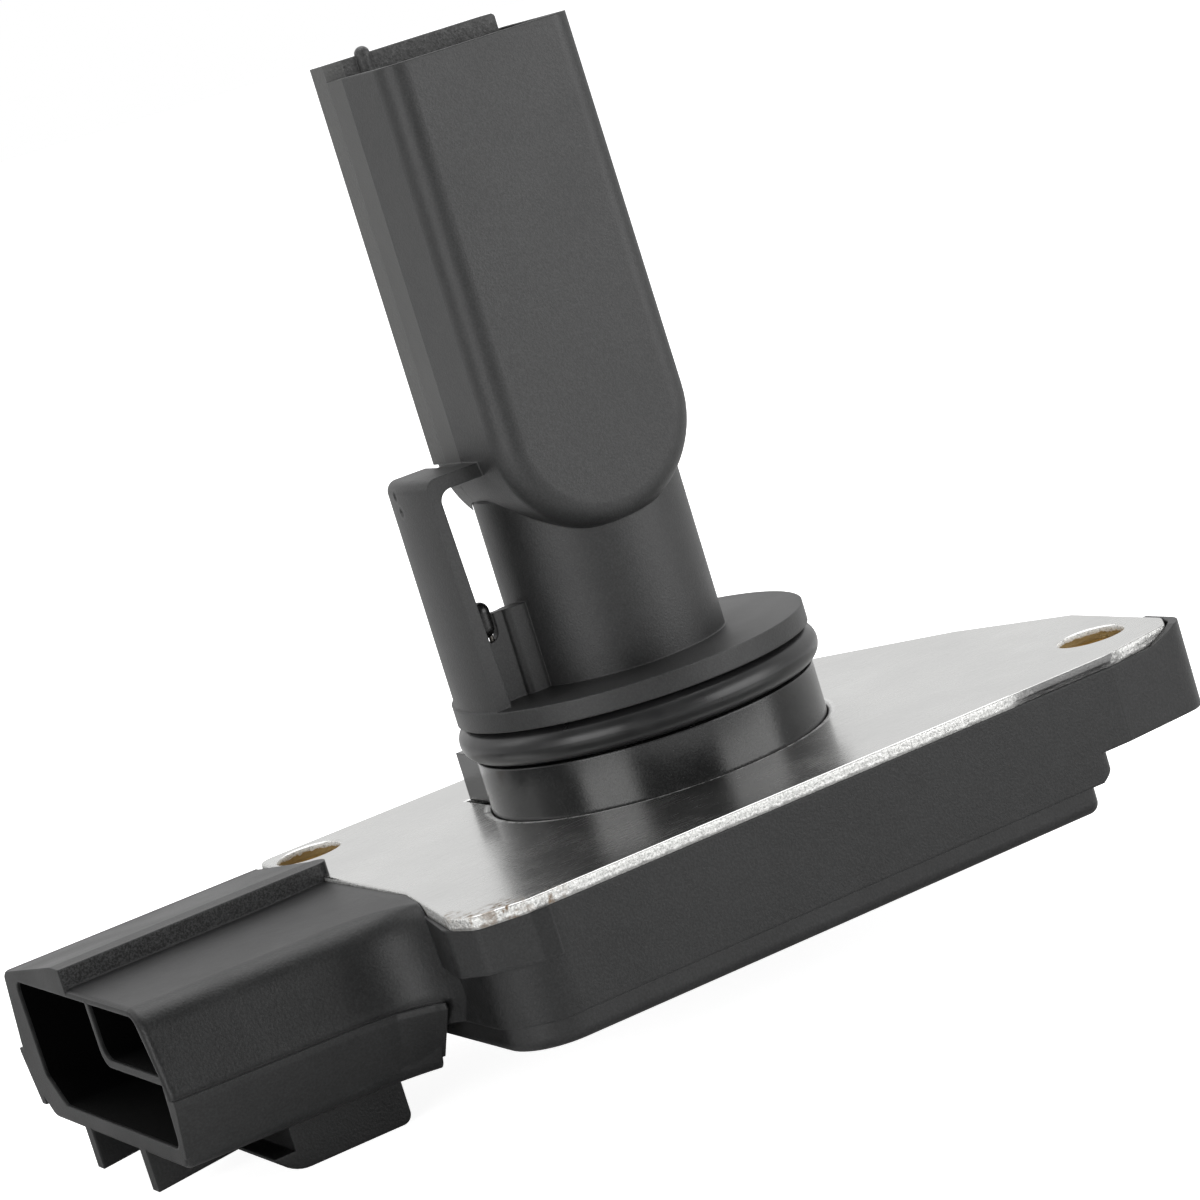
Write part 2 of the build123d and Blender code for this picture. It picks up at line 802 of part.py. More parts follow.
def circuit_board():
    board = box(board_x0, board_x1, board_y0, board_y1, board_top - board_t, board_top)
    board -= rod(*left_hole, board_top - board_t, board_top, board_notch_r)
    for y in pin_rows():
        board -= pin_tail(y, board_top - board_t, board_top)
    for x, y, top in stem_places():
        board -= rod(x, y, board_top - board_t, board_top, stem_r)
    return board


def board_parts():
    """Parts soldered to the underside of the board."""
    under = board_top - board_t
    row_y = board_y0 + parts_margin
    chip = Pos(chip_x, row_y + chip_size / 2, under - chip_t / 2) * Box(
        chip_size, chip_size, chip_t)
    transistor = Pos(transistor_x, row_y + transistor_l / 2, under - transistor_t / 2) * Box(
        transistor_w, transistor_l, transistor_t)
    capacitors = []
    for i in range(cap_count):
        place = Pos(cap_first_x + cap_pitch * i, row_y + cap_l / 2, under - cap_t / 2)
        capacitors.append(place * Box(cap_w, cap_l, cap_t))
    resistors = []
    x, y = resistor_first
    for i in range(3):
        for j in range(2):
            place = Pos(x + resistor_pitch[0] * i, y + resistor_pitch[1] * j,
                        under - resistor_t / 2)
            resistors.append(place * Box(resistor_w, resistor_l, resistor_t))
    return chip, transistor, capacitors, resistors


def solder_joints():
    """Fillet of solder where each terminal's tail meets the board."""
    under = board_top - board_t
    joints = []
    for y in pin_rows():
        cone = Pos(pin_bend_x - pin_t / 2, y, under - solder_h / 2) * Cone(
            solder_tip_r, solder_foot_r, solder_h)
        joints.append(cone - pin_tail(y, under - solder_h, under))
    return joints


def element_carrier():
    """Moulded plug in the neck that holds the four stems."""
    plug = rod(0, 0, carrier_z0, bore_top, neck_bore_r - fit_gap)
    for x, y, top in stem_places():
        plug -= rod(x, y, carrier_z0, bore_top, stem_r)
    return plug


def element_stems():
    """Steel stems from the neck up into the air passage."""
    return [rod(x, y, board_top - board_t - tail_out, top, stem_r) for x, y, top in stem_places()]


def cross_element(first, second, radius):
    """Small body welded between the tops of two stems."""
    x0, y, z = first
    x1 = second[0]
    length = x1 - x0 - 2 * stem_r
    return Pos((x0 + x1) / 2, y, z - radius) * Rot(0, 90, 0) * Cylinder(radius, length)


def bead():
    """Glass bead of the air temperature sensor."""
    (x0, y), (x1, _) = lead_places()
    z0 = notch_z - notch_r + bead_lift
    body = rod((x0 + x1) / 2, y, z0 + bead_r, z0 + bead_len - bead_r, bead_r)
    body += Pos((x0 + x1) / 2, y, z0 + bead_r) * Sphere(bead_r)
    body += Pos((x0 + x1) / 2, y, z0 + bead_len - bead_r) * Sphere(bead_r)
    return body


def bead_leads(glass):
    """Two wires from the bead down into the top flange."""
    z1 = notch_z - notch_r + bead_lift + bead_r
    return [rod(x, y, disc_top - lead_depth, z1, lead_r) - glass for x, y in lead_places()]


def cover_seal():
    """Ring of adhesive between the lid's lip and the housing wall."""
    ring = slab(body_plan(side_wall), body_split, body_split + lid_lip_h)
    return ring - slab(body_plan(side_wall + slip_gap), body_split, body_split + lid_lip_h)


def save(name, shape):
    """Write one node; a list becomes a group of separate solids."""
    if isinstance(shape, list):
        solids = [s for piece in shape for s in piece.solids()]
        shape = Compound(children=solids)
    export_step(shape, f"parts/{name}.step")


def main():
    os.makedirs("parts", exist_ok=True)
    stems = stem_places()
    chip, transistor, capacitors, resistors = board_parts()
    glass = bead()
    save("base_plate", base_plate())
    save("screw_bushes", screw_bushes())
    save("probe", probe())
    save("head_cover", head_cover())
    save("o_ring", o_ring())
    save("housing", housing())
    save("bottom_cover", bottom_cover())
    save("connector_terminals", connector_terminals())
    save("circuit_board", circuit_board())
    save("control_chip", chip)
    save("power_transistor", transistor)
    save("capacitors", capacitors)
    save("resistors", resistors)
    save("solder_joints", solder_joints())
    save("element_carrier", element_carrier())
    save("element_stems", element_stems())
    save("hot_wire", cross_element(stems[0], stems[1], element_r))
    save("reference_resistor", cross_element(stems[2], stems[3], element_r))
    save("temperature_bead", glass)
    save("bead_leads", bead_leads(glass))
    save("cover_seal", cover_seal())


main()
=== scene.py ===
import math

import bmesh
import bpy
from mathutils import Matrix, Vector, noise


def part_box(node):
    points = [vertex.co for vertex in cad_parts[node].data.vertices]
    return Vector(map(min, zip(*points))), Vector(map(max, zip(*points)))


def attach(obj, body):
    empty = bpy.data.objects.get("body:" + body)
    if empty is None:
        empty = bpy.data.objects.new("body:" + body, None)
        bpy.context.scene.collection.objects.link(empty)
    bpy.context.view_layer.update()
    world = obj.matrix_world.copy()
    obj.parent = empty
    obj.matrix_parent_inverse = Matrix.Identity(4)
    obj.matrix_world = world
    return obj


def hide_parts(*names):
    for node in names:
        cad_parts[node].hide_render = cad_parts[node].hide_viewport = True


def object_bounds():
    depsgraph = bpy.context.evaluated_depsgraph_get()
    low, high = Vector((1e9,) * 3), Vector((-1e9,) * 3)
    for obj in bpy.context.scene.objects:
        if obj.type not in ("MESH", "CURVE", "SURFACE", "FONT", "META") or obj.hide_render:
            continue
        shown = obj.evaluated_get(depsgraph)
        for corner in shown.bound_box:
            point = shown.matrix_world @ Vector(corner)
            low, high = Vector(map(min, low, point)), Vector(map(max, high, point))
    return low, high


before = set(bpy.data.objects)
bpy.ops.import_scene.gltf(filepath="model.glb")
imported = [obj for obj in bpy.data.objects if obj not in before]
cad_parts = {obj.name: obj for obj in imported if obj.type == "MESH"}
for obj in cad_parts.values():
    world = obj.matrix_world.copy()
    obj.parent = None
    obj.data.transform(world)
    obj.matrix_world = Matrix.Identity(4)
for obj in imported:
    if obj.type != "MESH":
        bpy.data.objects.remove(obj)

cad_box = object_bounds()
MM = 0.001


# Probe
# One injection moulding in black glass-filled polyester: foot, spigot, ring groove, neck,
# guard strap and the front half of the sampling head. The mould was spark-eroded for a fine
# matt grain, and only the spigot's sealing faces were polished.

def new_group(title, inputs, outputs):
    """Empty shader group; inputs are (name, kind, value) and outputs are (name, kind)."""
    group = bpy.data.node_groups.new(title, "ShaderNodeTree")
    for name, kind, value in inputs:
        socket = group.interface.new_socket(name, in_out="INPUT", socket_type="NodeSocket" + kind)
        socket.default_value = value
    for name, kind in outputs:
        group.interface.new_socket(name, in_out="OUTPUT", socket_type="NodeSocket" + kind)
    return group, group.nodes.new("NodeGroupInput"), group.nodes.new("NodeGroupOutput")


def node(tree, kind, settings=None, **inputs):
    """Shader node with its settings, and its inputs given as values or as sockets to link."""
    made = tree.nodes.new(kind)
    for key, value in (settings or {}).items():
        setattr(made, key, value)
    for key, value in inputs.items():
        socket = made.inputs[int(key[1:])] if key[1:].isdigit() else made.inputs[key.replace("_", " ")]
        if isinstance(value, bpy.types.NodeSocket):
            tree.links.new(value, socket)
        else:
            socket.default_value = value
    return made


def math_node(tree, operation, a, b=0.0, clamp=False):
    """Output of one Math node."""
    made = node(tree, "ShaderNodeMath", {"operation": operation, "use_clamp": clamp}, _0=a, _1=b)
    return made.outputs[0]


def add_scaled(tree, value, extra, share, clamp=False):
    """The value with a share of another one added to it."""
    return math_node(tree, "ADD", value, math_node(tree, "MULTIPLY", extra, share), clamp)


def blend_colour(tree, share, first, second):
    """Colour that runs from the first to the second as the share goes from 0 to 1."""
    made = node(tree, "ShaderNodeMix", {"data_type": "RGBA"}, _0=share, _6=first, _7=second)
    return made.outputs[2]


def ramp(tree, value, low, high, to_low=0.0, to_high=1.0):
    """Value stretched from low..high to a new range, and held at its ends."""
    made = node(tree, "ShaderNodeMapRange", {"clamp": True}, _0=value, _1=low, _2=high,
                _3=to_low, _4=to_high)
    return made.outputs[0]


def place_in_mm(tree):
    """Place on the object in millimetres, as a vector socket."""
    at = tree.nodes.new("ShaderNodeTexCoord").outputs["Object"]
    made = node(tree, "ShaderNodeVectorMath", {"operation": "SCALE"}, _0=at)
    made.inputs["Scale"].default_value = 1 / MM
    return made.outputs[0]


def noise_value(tree, at, scale, detail=2.0, rough=0.5):
    """Noise over the surface; the scale is in grains per millimetre."""
    made = node(tree, "ShaderNodeTexNoise", None, Vector=at, Scale=scale, Detail=detail,
                Roughness=rough)
    return made.outputs[0]


def build_grain():
    """Spark-eroded mould grain, with cloudy flow of the plastic and a few pale dust specks."""
    group, given, out = new_group(
        "mould grain",
        [("Dark", "Color", (0.02, 0.02, 0.02, 1)), ("Light", "Color", (0.05, 0.05, 0.05, 1)),
         ("Grains per mm", "Float", 6.0), ("Roughness", "Float", 0.5),
         ("Sparkle", "Float", 0.2)],
        [("Colour", "Color"), ("Roughness", "Float"), ("Height", "Float")])
    cloud_per_mm, patch_per_mm, speck_per_mm, cluster_per_mm = 0.11, 0.9, 1.6, 0.5
    fine_share, cloud_share, patch_share, dust_share = 0.5, 0.34, 0.12, 0.9
    speck_core, speck_rim = 0.05, 0.09        # in widths of a cell
    roughness_wander, dust_roughness, patch_height = 0.05, 0.2, 0.35
    at = place_in_mm(group)
    fine = noise_value(group, at, given.outputs["Grains per mm"], 3.0, 0.6)
    cloud = noise_value(group, at, cloud_per_mm, 3.0, 0.55)
    patch = noise_value(group, at, patch_per_mm, 2.0, 0.5)
    cells = node(group, "ShaderNodeTexVoronoi", {"feature": "F1"}, Vector=at, Scale=speck_per_mm)
    speck = ramp(group, cells.outputs["Distance"], speck_core, speck_rim, 1.0, 0.0)
    chosen = ramp(group, noise_value(group, at, cluster_per_mm, 1.0), 0.5, 0.62)
    dust = math_node(group, "MULTIPLY", speck, chosen)
    share = math_node(group, "MULTIPLY", ramp(group, fine, 0.38, 0.62), fine_share)
    share = add_scaled(group, share, ramp(group, cloud, 0.35, 0.65), cloud_share)
    share = add_scaled(group, share, ramp(group, patch, 0.35, 0.65), patch_share)
    share = add_scaled(group, share, ramp(group, fine, 0.58, 0.74), given.outputs["Sparkle"])
    share = add_scaled(group, share, dust, dust_share, True)
    colour = blend_colour(group, share, given.outputs["Dark"], given.outputs["Light"])
    wander = ramp(group, cloud, 0.3, 0.7, -roughness_wander, roughness_wander)
    rough = math_node(group, "ADD", given.outputs["Roughness"], wander)
    rough = add_scaled(group, rough, dust, dust_roughness, True)
    height = add_scaled(group, fine, patch, patch_height)
    group.links.new(colour, out.inputs["Colour"])
    group.links.new(rough, out.inputs["Roughness"])
    group.links.new(height, out.inputs["Height"])
    return group


def build_soft_edges():
    """Small radius that every moulded or stamped edge has, and a mask of where it lies."""
    group, given, out = new_group(
        "soft edges", [("Radius mm", "Float", 0.15)], [("Normal", "Vector"), ("Edge", "Float")])
    edge_start, edge_full = 0.995, 0.86       # cosine of the turn away from the flat normal
    radius = math_node(group, "MULTIPLY", given.outputs["Radius mm"], MM)
    bevel = node(group, "ShaderNodeBevel", {"samples": 6}, Radius=radius)
    flat = group.nodes.new("ShaderNodeNewGeometry")
    dot = node(group, "ShaderNodeVectorMath", {"operation": "DOT_PRODUCT"},
               _0=bevel.outputs[0], _1=flat.outputs["Normal"])
    edge = ramp(group, dot.outputs["Value"], edge_start, edge_full)
    group.links.new(bevel.outputs[0], out.inputs["Normal"])
    group.links.new(edge, out.inputs["Edge"])
    return group


grain_group = build_grain()
soft_edge_group = build_soft_edges()


def new_material(title):
    """Material with its Principled shader and node tree."""
    made = bpy.data.materials.new(title)
    made.use_nodes = True
    return made, made.node_tree, made.node_tree.nodes["Principled BSDF"]


edge_wear_and_highlight_share = 0.5              # how far an edge goes to its pale colour: handling wear and painted highlight
edge_wear_and_highlight_gain = 2.4               # how much paler that is than the plastic's light colour
plastic_ior = 1.55


def moulded(title, dark, light, roughness, grains, depth, edge_mm=0.14, sparkle=0.2, tint=None,
            gloss=0.5):
    """Moulded plastic; tint may change its colour and roughness, and how deep its grain is."""
    made, tree, shader = new_material(title)
    grain = node(tree, "ShaderNodeGroup", {"node_tree": grain_group}, Dark=dark, Light=light,
                 Grains_per_mm=grains, Roughness=roughness, Sparkle=sparkle)
    edges = node(tree, "ShaderNodeGroup", {"node_tree": soft_edge_group}, Radius_mm=edge_mm)
    colour, rough, height = (grain.outputs[name] for name in ("Colour", "Roughness", "Height"))
    if tint:
        colour, rough, height = tint(tree, colour, rough, height)
    # Edges go pale, partly as wear and partly as a painted highlight along them.
    edge_wear_and_highlight = math_node(tree, "MULTIPLY", edges.outputs["Edge"], edge_wear_and_highlight_share)
    pale = tuple(min(1.0, c * edge_wear_and_highlight_gain) for c in light[:3]) + (1,)
    colour = blend_colour(tree, edge_wear_and_highlight, colour, pale)
    bump = node(tree, "ShaderNodeBump", None, Strength=1.0, Distance=depth * MM, Height=height,
                Normal=edges.outputs["Normal"])
    tree.links.new(colour, shader.inputs["Base Color"])
    tree.links.new(rough, shader.inputs["Roughness"])
    tree.links.new(bump.outputs[0], shader.inputs["Normal"])
    shader.inputs["IOR"].default_value = plastic_ior
    shader.inputs["Specular IOR Level"].default_value = gloss
    return made


def finish_with(name, material):
    """Gives a carried-over piece its material."""
    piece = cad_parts[name]
    piece.data.materials.clear()
    piece.data.materials.append(material)
    return piece


def box_mm(name):
    """Opposite corners of a node in millimetres."""
    return tuple(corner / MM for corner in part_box(name))


def near_point(tree, x, y, z, inner, outer):
    """Mask of 1 within a distance in mm of a place, and 0 past the outer one."""
    at = place_in_mm(tree)
    far = node(tree, "ShaderNodeVectorMath", {"operation": "DISTANCE"}, _0=at, _1=(x, y, z))
    return ramp(tree, far.outputs["Value"], inner, outer, 1.0, 0.0)


def inside_box(tree, low, high):
    """Mask of 1 between two opposite corners given in mm, and 0 outside."""
    middle = tuple((a + b) / 2 for a, b in zip(low, high))
    half = tuple((b - a) / 2 for a, b in zip(low, high))
    away = node(tree, "ShaderNodeVectorMath", {"operation": "SUBTRACT"}, _0=place_in_mm(tree),
                _1=middle).outputs[0]
    away = node(tree, "ShaderNodeVectorMath", {"operation": "ABSOLUTE"}, _0=away).outputs[0]
    away = node(tree, "ShaderNodeVectorMath", {"operation": "DIVIDE"}, _0=away,
                _1=half).outputs[0]
    parts = node(tree, "ShaderNodeSeparateXYZ", None, _0=away).outputs
    largest = math_node(tree, "MAXIMUM", parts[0], math_node(
        tree, "MAXIMUM", parts[1], parts[2]))
    return math_node(tree, "LESS_THAN", largest, 1.0)


cover_low, cover_high = box_mm("head_cover")
ring_top = box_mm("o_ring")[1].z
polished_top = ring_top + 0.1
polished_fade = 0.3
polished_roughness = -0.27
polished_grain = 0.3          # depth of the grain that the polish leaves
flare_start = -0.9            # y from which the head's left side leans outwards
flare_right = -7.4
# The head's flared side is painted lighter, as light falling on it.
lit_flare_low = (cover_low.x - 0.5, flare_start, 27.0)
lit_flare_high = (flare_right, cover_high.y, cover_high.z)
flare_painted_light = (0.06, 0.0605, 0.059, 1)
gate_scars = [(-14.2, 1.65, 26.6), (-14.25, 1.2, 25.35)]
scar_pit, scar_rim = (0.15, 0.5), (0.35, 0.75)        # radii where each is full and gone
scar_pit_colour, scar_rim_colour = (0.002, 0.002, 0.002, 1), (0.12, 0.12, 0.12, 1)
scar_rim_share, scar_roughness = 0.35, 0.5


def probe_tint(tree, colour, rough, height):
    """Polished spigot, painted light on the flared side, and the torn marks of the gate on the guard
    strap.
    """
    at = place_in_mm(tree)
    up = node(tree, "ShaderNodeSeparateXYZ", None, _0=at).outputs["Z"]
    polished = ramp(tree, up, polished_top, polished_top - polished_fade)
    rough = add_scaled(tree, rough, polished, polished_roughness)
    height = math_node(tree, "MULTIPLY", height, ramp(
        tree, polished, 0.0, 1.0, 1.0, polished_grain))
    torn = ramp(tree, noise_value(tree, at, 2.6, 3.0, 0.7), 0.3, 0.5)
    # Painted light: the flared side is lightened.
    colour = blend_colour(tree, inside_box(tree, lit_flare_low, lit_flare_high), colour, flare_painted_light)
    for place in gate_scars:
        rim = math_node(tree, "MULTIPLY", near_point(tree, *place, *scar_rim), scar_rim_share)
        colour = blend_colour(tree, rim, colour, scar_rim_colour)
        pit = math_node(tree, "MULTIPLY", near_point(tree, *place, *scar_pit), torn)
        colour = blend_colour(tree, pit, colour, scar_pit_colour)
        rough = add_scaled(tree, rough, pit, scar_roughness, True)
    return colour, rough, height


plastic_dark = (0.0075, 0.0077, 0.0078, 1)
plastic_light = (0.026, 0.0264, 0.0266, 1)
probe_plastic = moulded("probe plastic", plastic_dark, plastic_light, roughness=0.47,
                        grains=6.0, depth=0.02, edge_mm=0.2, tint=probe_tint)
finish_with("probe", probe_plastic)


# Head cover
# Separate moulding in the same plastic, bonded to the back of the head. Its mould has the
# coarser grain that shows as sparkle round the open top.
# Box of the cover's left side, which is painted lighter as light falling on it.
cover_lit_side_low = (cover_low.x - 0.5, 0.0, 20.0)
cover_lit_side_high = (-7.6, cover_high.y + 1, cover_high.z + 1)
cover_side_painted_light = (0.08, 0.0805, 0.078, 1)
cover_side_light_share = 0.85


def cover_tint(tree, colour, rough, height):
    """Painted light: the cover's left side is lightened like the head's flared side."""
    # Painted light on the cover's left side.
    side = math_node(tree, "MULTIPLY", inside_box(tree, cover_lit_side_low, cover_lit_side_high),
                     cover_side_light_share)
    return blend_colour(tree, side, colour, cover_side_painted_light), rough, height


cover_plastic = moulded("cover plastic", (0.012, 0.0121, 0.0122, 1), (0.085, 0.0855, 0.085, 1),
                        roughness=0.5, grains=4.2, depth=0.045, sparkle=0.7, tint=cover_tint)
finish_with("head_cover", cover_plastic)


# Rubber ring
# Moulded nitrile rubber ring, oiled for assembly and stretched into the spigot's groove. It
# stands a little proud of the top flange, so that it seals against the duct's hole.
oil_film_per_mm = 0.35
rubber_grain_per_mm = 8.0
rubber_grain_depth = 0.004 * MM
rubber_dark, rubber_light = (0.009, 0.009, 0.0095, 1), (0.02, 0.02, 0.0205, 1)
oiled_roughness, dry_roughness = 0.27, 0.4


def ring_rubber():
    """Black rubber under an uneven film of oil."""
    made, tree, shader = new_material("ring rubber")
    at = place_in_mm(tree)
    film = noise_value(tree, at, oil_film_per_mm, 3.0, 0.6)
    fine = noise_value(tree, at, rubber_grain_per_mm, 2.0, 0.5)
    colour = blend_colour(tree, film, rubber_dark, rubber_light)
    rough = ramp(tree, film, 0.3, 0.7, oiled_roughness, dry_roughness)
    bump = node(tree, "ShaderNodeBump", None, Distance=rubber_grain_depth, Height=fine)
    tree.links.new(colour, shader.inputs["Base Color"])
    tree.links.new(rough, shader.inputs["Roughness"])
    tree.links.new(bump.outputs[0], shader.inputs["Normal"])
    return made


finish_with("o_ring", ring_rubber())


# Sensing elements
# Hot wire and reference resistor welded across steel stems, and the glass bead of the air
# temperature sensor on its two leads. A moulded carrier holds the stems in the neck.
def plain_metal(title, low, high, roughness, scale, depth, metallic=1.0):
    """Metal or glaze whose colour and gloss wander; the scale is in patches per millimetre."""
    fine_patches = 9          # fine patches to one broad one
    made, tree, shader = new_material(title)
    at = place_in_mm(tree)
    cloud = noise_value(tree, at, scale, 3.0, 0.6)
    fine = noise_value(tree, at, scale * fine_patches, 2.0, 0.5)
    colour = blend_colour(tree, cloud, low, high)
    rough = ramp(tree, fine, 0.3, 0.7, *roughness)
    bump = node(tree, "ShaderNodeBump", None, Distance=depth * MM, Height=fine)
    tree.links.new(colour, shader.inputs["Base Color"])
    tree.links.new(rough, shader.inputs["Roughness"])
    tree.links.new(bump.outputs[0], shader.inputs["Normal"])
    shader.inputs["Metallic"].default_value = metallic
    return made


stem_steel = plain_metal("stem steel", (0.45, 0.44, 0.42, 1), (0.62, 0.61, 0.59, 1),
                         roughness=(0.22, 0.36), scale=0.8, depth=0.004)
wire_glaze = plain_metal("wire glaze", (0.6, 0.6, 0.57, 1), (0.75, 0.75, 0.72, 1),
                         roughness=(0.2, 0.4), scale=1.5, depth=0.006, metallic=0.0)
bead_glass = plain_metal("bead glass", (0.003, 0.003, 0.003, 1), (0.008, 0.008, 0.008, 1),
                         roughness=(0.2, 0.4), scale=0.7, depth=0.003, metallic=0.0)
lead_wire = plain_metal("lead wire", (0.12, 0.11, 0.1, 1), (0.2, 0.19, 0.17, 1),
                        roughness=(0.35, 0.5), scale=0.8, depth=0.004)
finish_with("element_carrier", cover_plastic)
finish_with("element_stems", stem_steel)
finish_with("bead_leads", lead_wire)
finish_with("hot_wire", wire_glaze)
finish_with("reference_resistor", wire_glaze)
finish_with("temperature_bead", bead_glass)


# Housing
# One moulding in the same black plastic: the plate's seat, the electronics box and the
# connector shroud. Grain runs over all its outer faces, coarser on the raised part's side,
# and the mould's parting line crosses the right-hand ear.
mouth_x = box_mm("housing")[0].x
# The socket's inside is painted near black as shade.
socket_low, socket_high = (mouth_x + 0.3, -9.3, -11.7), (-28.0, 21.2, -1.3)
socket_painted_shade, socket_shade_share, socket_roughness = (0.0008, 0.0008, 0.0008, 1), 0.97, 0.45
socket_shade_dullness = 0.85        # as Metallic over black, which takes that much of the sheen away, deepening the painted shade
# The mouth's end face is painted dark as shade.
mouth_low, mouth_high = (mouth_x - 0.1, -12.0, -16.0), (mouth_x + 0.1, 24.0, 1.2)
mouth_painted_shade, mouth_shade_share, mouth_roughness = (0.0015, 0.0015, 0.0015, 1), 0.85, 0.15
raised_low, raised_high = (mouth_x - 0.8, 5.6, -0.4), (-27.0, 6.9, 1.3)
raised_dark, raised_light = (0.002, 0.002, 0.002, 1), (0.035, 0.0355, 0.036, 1)
parting_low, parting_high = (26.3, -27.0, -7.2), (26.41, -24.0, -0.9)
parting_black, parting_share = (0.001, 0.001, 0.001, 1), 0.8


def housing_tint(tree, colour, rough, height):
    """Painted shade in the socket and on the mouth's end face, coarse grain on the raised part's side,
    and the parting line.
    """
    at = place_in_mm(tree)
    crumbs = ramp(tree, noise_value(tree, at, 6.5, 3.0, 0.7), 0.42, 0.6)
    grainy = blend_colour(tree, crumbs, raised_dark, raised_light)
    colour = blend_colour(tree, inside_box(tree, raised_low, raised_high), colour, grainy)
    line = math_node(tree, "MULTIPLY", inside_box(tree, parting_low, parting_high),
                     parting_share)
    colour = blend_colour(tree, line, colour, parting_black)
    # Painted shade inside the socket.
    socket = inside_box(tree, socket_low, socket_high)
    colour = blend_colour(tree, math_node(tree, "MULTIPLY", socket, socket_shade_share), colour,
                          socket_painted_shade)
    rough = add_scaled(tree, rough, socket, socket_roughness, True)
    # Painted shade on the mouth's end face.
    mouth_shade = inside_box(tree, mouth_low, mouth_high)
    colour = blend_colour(tree, math_node(tree, "MULTIPLY", mouth_shade, mouth_shade_share), colour,
                          mouth_painted_shade)
    rough = add_scaled(tree, rough, mouth_shade, mouth_roughness, True)
    return colour, rough, height


housing_plastic = moulded("housing plastic", (0.004, 0.0041, 0.0042, 1),
                          (0.017, 0.0173, 0.0176, 1), roughness=0.43, grains=5.0, depth=0.028,
                          edge_mm=0.28, tint=housing_tint, gloss=0.36)
housing_tree = housing_plastic.node_tree
housing_tree.links.new(
    math_node(housing_tree, "MULTIPLY", inside_box(housing_tree, socket_low, socket_high),
              socket_shade_dullness),
    housing_tree.nodes["Principled BSDF"].inputs["Metallic"])
finish_with("housing", housing_plastic)


# Bottom cover
# Shallow moulded lid bonded into the box with a bead of adhesive round its lip. It is the
# housing's plastic with a shallower grain.
lid_plastic = moulded("lid plastic", (0.004, 0.0041, 0.0042, 1), (0.018, 0.0183, 0.0186, 1),
                      roughness=0.38, grains=5.0, depth=0.014, edge_mm=0.2, gloss=0.4)
finish_with("bottom_cover", lid_plastic)
seal_glue = moulded("seal adhesive", (0.01, 0.01, 0.01, 1), (0.03, 0.03, 0.03, 1),
                    roughness=0.3, grains=2.0, depth=0.02)
finish_with("cover_seal", seal_glue)


# Terminals
# Six tin-plated brass blades moulded into the shroud's end wall and soldered to the board.
# The plating is bright, and its gloss wanders a little.
tin_plate = plain_metal("tin plate", (0.52, 0.52, 0.5, 1), (0.7, 0.7, 0.68, 1),
                        roughness=(0.2, 0.36), scale=0.6, depth=0.004)
finish_with("connector_terminals", tin_plate)


# Circuit board
# Glass-fibre board with green resist over copper, bonded to four posts under the roof. Its
# chip, transistor, capacitors and resistors are soldered to its underside.
weave_per_mm, weave_gap, weave_depth = 0.6, 0.05, 0.03 * MM
resist_dark, resist_green = (0.006, 0.09, 0.03, 1), (0.01, 0.12, 0.04, 1)
resist_pale, resist_cloud = (0.02, 0.17, 0.06, 1), (0.008, 0.1, 0.035, 1)
resist_cloud_per_mm = 0.5


def board_resist():
    """Green resist over the weave of the glass cloth."""
    made, tree, shader = new_material("board resist")
    at = place_in_mm(tree)
    weave = node(tree, "ShaderNodeTexBrick", {"offset": 0.5}, Vector=at, Scale=weave_per_mm,
                 Color1=resist_dark, Color2=resist_green, Mortar=resist_pale)
    weave.inputs["Mortar Size"].default_value = weave_gap
    cloud = noise_value(tree, at, resist_cloud_per_mm, 2.0)
    colour = blend_colour(tree, ramp(tree, cloud, 0.3, 0.8), weave.outputs["Color"],
                          resist_cloud)
    bump = node(tree, "ShaderNodeBump", None, Distance=weave_depth, Height=weave.outputs["Fac"])
    tree.links.new(colour, shader.inputs["Base Color"])
    tree.links.new(ramp(tree, cloud, 0.2, 0.8, 0.25, 0.4), shader.inputs["Roughness"])
    tree.links.new(bump.outputs[0], shader.inputs["Normal"])
    return made


chip_case = moulded("chip case", (0.012, 0.012, 0.012, 1), (0.03, 0.03, 0.03, 1),
                    roughness=0.45, grains=9.0, depth=0.006)
capacitor_body = moulded("capacitor body", (0.16, 0.1, 0.055, 1), (0.24, 0.15, 0.08, 1),
                         roughness=0.35, grains=6.0, depth=0.006)
solder_metal = plain_metal("solder", (0.5, 0.5, 0.5, 1), (0.68, 0.68, 0.68, 1),
                           roughness=(0.18, 0.4), scale=1.2, depth=0.01)
finish_with("circuit_board", board_resist())
finish_with("control_chip", chip_case)
finish_with("power_transistor", chip_case)
finish_with("resistors", chip_case)
finish_with("capacitors", capacitor_body)
finish_with("solder_joints", solder_metal)


# Screw bushes
# Brass sleeves pressed into the ears, so that the screws don't crush the plastic. They are
# left bare, and only their bores show.
brass = plain_metal("brass", (0.5, 0.34, 0.11, 1), (0.72, 0.53, 0.22, 1),
                    roughness=(0.3, 0.5), scale=0.7, depth=0.01, metallic=0.7)
finish_with("screw_bushes", brass)


